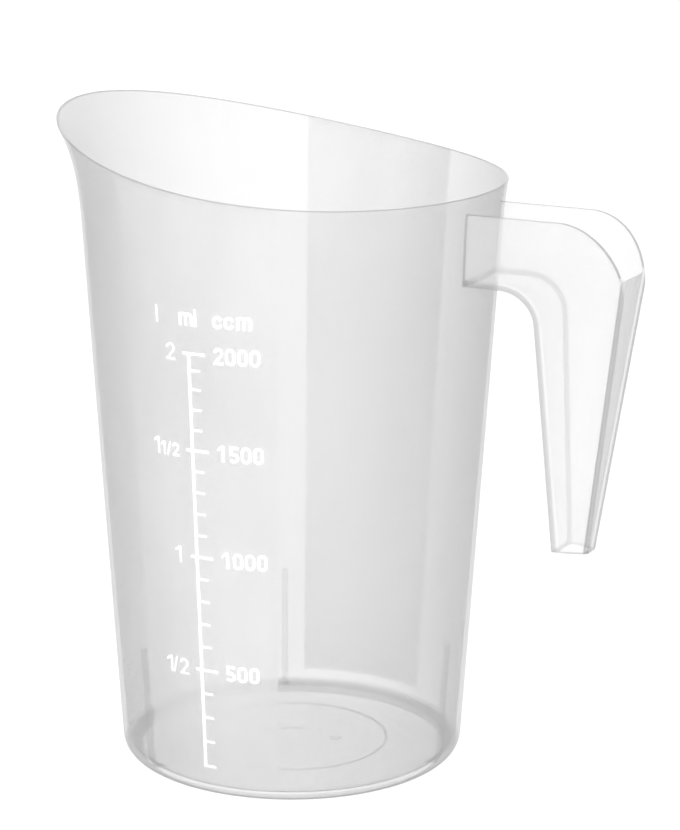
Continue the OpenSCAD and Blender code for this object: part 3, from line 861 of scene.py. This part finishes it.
def makeInk(name):
    look = inks[name]
    material, tree = nodeSet(name)
    material.cycles.emission_sampling = "NONE"
    out = addNode(tree, "ShaderNodeOutputMaterial")
    height = addNode(tree, "ShaderNodeGroup", {"Pits": inkBase["pits"]}, node_tree=heightGroup)
    bump = addNode(tree, "ShaderNodeBump", {"Strength": inkBase["bump"], "Distance": inkBase["bumpDistance"] * mm})
    # the print's glow is painted light, not a lamp
    body = addNode(tree, "ShaderNodeBsdfPrincipled", {
        "Roughness": inkBase["roughness"], "Emission Strength": inkBase["glow"], "Emission Color": (1, 1, 1, 1)})
    grey = addNode(tree, "ShaderNodeCombineColor")
    level = addNode(tree, "ShaderNodeMapRange", {
        "From Min": 0.4, "From Max": 1.0, "To Min": inkBase["darkest"], "To Max": inkBase["brightest"]})
    cover = addNode(tree, "ShaderNodeMapRange", {
        "From Min": 0.4, "From Max": 0.9, "To Min": look["cover"] - look["wear"],
        "To Max": min(1.0, look["cover"] + look["wear"])})
    for user in (level.inputs["Value"], cover.inputs["Value"], bump.inputs["Height"]):
        link(tree, height.outputs["Height"], user)
    for channel in range(3):
        link(tree, level.outputs[0], grey.inputs[channel])
    link(tree, grey.outputs[0], body.inputs["Base Color"])
    link(tree, bump.outputs[0], body.inputs["Normal"])
    link(tree, cover.outputs[0], body.inputs["Alpha"])
    link(tree, body.outputs[0], out.inputs[0])
    return material


def paint(piece, *names):
    # fills the slots in order and keeps each face's own choice among them
    chosen = [polygon.material_index for polygon in piece.data.polygons]
    piece.data.materials.clear()
    for name in names:
        piece.data.materials.append(finish[name + "Polypropylene"])
    for polygon, index in zip(piece.data.polygons, chosen):
        polygon.material_index = min(index, len(names) - 1)


finish = {name: makePlastic(name) for name in plastics}
paint(jug, "clear", "rim", "seam", "corner")
# the handle's slots are lit and shaded copies of the clear plastic: plates and web painted brighter as painted
# light, edges and the outer wall painted darker as painted shade
paint(jugHandle, "plate", "corner", "outer", "web")
for piece in panels.values():
    paint(piece, "grained", "rim", "seam")
for piece in ribs:
    paint(piece, "clear", "rim")
for piece in (floorRing, dot, dash):
    paint(piece, "clear")

boldInk, faintInk = makeInk("boldInk"), makeInk("faintInk")
boldNodes = ["scale_line", "major_marks", "minor_marks", "numeral_2000", "numeral_1500", "numeral_1000",
             "numeral_500", "unit_ml", "unit_ccm"]
faintNodes = ["litre_two", "litre_one_and_half", "litre_one", "litre_half", "unit_l"]
for names, ink in ((boldNodes, boldInk), (faintNodes, faintInk)):
    for name in names:
        slots = frame["nodes"][name].data.materials
        slots.clear()
        slots.append(ink)
print("materials made:", len(plastics) + len(inks))


# each piece with its material slot and the CAD nodes that it stands for
standsFor = [
    (jug, "clear_polypropylene", ("base", "spout_wall", "handle_side_wall")),
    (panels["scalePanel"], "grained_polypropylene", ("scale_panel",)),
    (panels["plainPanel"], "grained_polypropylene", ("plain_panel",)),
    (jugHandle, "clear_polypropylene", ("handle_arm", "handle_grip")),
    (ribs[0], "clear_polypropylene", ("rib_handle_side",)),
    (ribs[1], "clear_polypropylene", ("rib_plain_side",)),
    (ribs[2], "clear_polypropylene", ("rib_scale_side",)),
    (floorRing, "clear_polypropylene", ("floor_ring",)),
    (dot, "clear_polypropylene", ("cavity_mark",)),
    (dash, "clear_polypropylene", ("gate_mark",)),
]
for piece, slotName, nodes in standsFor:
    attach(piece, "root")
    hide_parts(*nodes)
print("pieces named:", len(standsFor))


# the floor lies a hair below the foot, so that the two faces don't share a plane
floorPaper = {"size": 24, "below": 0.3, "shade": 0.9, "roughness": 0.8, "gloss": 0.1, "glow": 0.7}
# light comes evenly from the front and the back along towards, and little from the sides
studio = {"sides": 0.1, "frontAndBack": 3.5, "narrowness": 4, "towards": (0.46, -0.888, 0.0)}

deselectAll()
bpy.ops.mesh.primitive_plane_add(size=floorPaper["size"], location=(0, 0, -floorPaper["below"] * mm))
floor = bpy.context.object
floor.name = "floor"
floorMaterial, tree = nodeSet("floorPaper")
floorMaterial.cycles.emission_sampling = "NONE"
out = addNode(tree, "ShaderNodeOutputMaterial")
paper = addNode(tree, "ShaderNodeBsdfPrincipled", {
    "Base Color": (floorPaper["shade"], floorPaper["shade"], floorPaper["shade"], 1),
    "Roughness": floorPaper["roughness"], "Specular IOR Level": floorPaper["gloss"],
    "Emission Color": (1, 1, 1, 1), "Emission Strength": floorPaper["glow"]})
link(tree, paper.outputs[0], out.inputs[0])
floor.data.materials.append(floorMaterial)

world = bpy.data.worlds.new("studio")
bpy.context.scene.world = world
world.use_nodes = True
tree = world.node_tree
tree.nodes.clear()
out = addNode(tree, "ShaderNodeOutputWorld")
glow = addNode(tree, "ShaderNodeBackground")
direction = addNode(tree, "ShaderNodeTexCoord")
along = addNode(tree, "ShaderNodeVectorMath", {1: studio["towards"]}, operation="DOT_PRODUCT")
eitherWay = addNode(tree, "ShaderNodeMath", operation="ABSOLUTE")
narrowed = addNode(tree, "ShaderNodeMath", {1: studio["narrowness"]}, operation="POWER")
level = addNode(tree, "ShaderNodeMath", {1: studio["frontAndBack"], 2: studio["sides"]}, operation="MULTIPLY_ADD")
link(tree, direction.outputs["Generated"], along.inputs[0])
link(tree, along.outputs["Value"], eitherWay.inputs[0])
link(tree, eitherWay.outputs[0], narrowed.inputs[0])
link(tree, narrowed.outputs[0], level.inputs[0])
link(tree, level.outputs[0], glow.inputs["Strength"])
link(tree, glow.outputs[0], out.inputs[0])

# many thin clear layers lie behind each other, so light may pass through more of them than usual
scene = bpy.context.scene
scene.view_settings.view_transform = "Standard"
scene.view_settings.look = "None"
scene.cycles.transparent_max_bounces = 32
scene.cycles.max_bounces = 12
scene.cycles.denoising_input_passes = "RGB"
print("floor and light set")
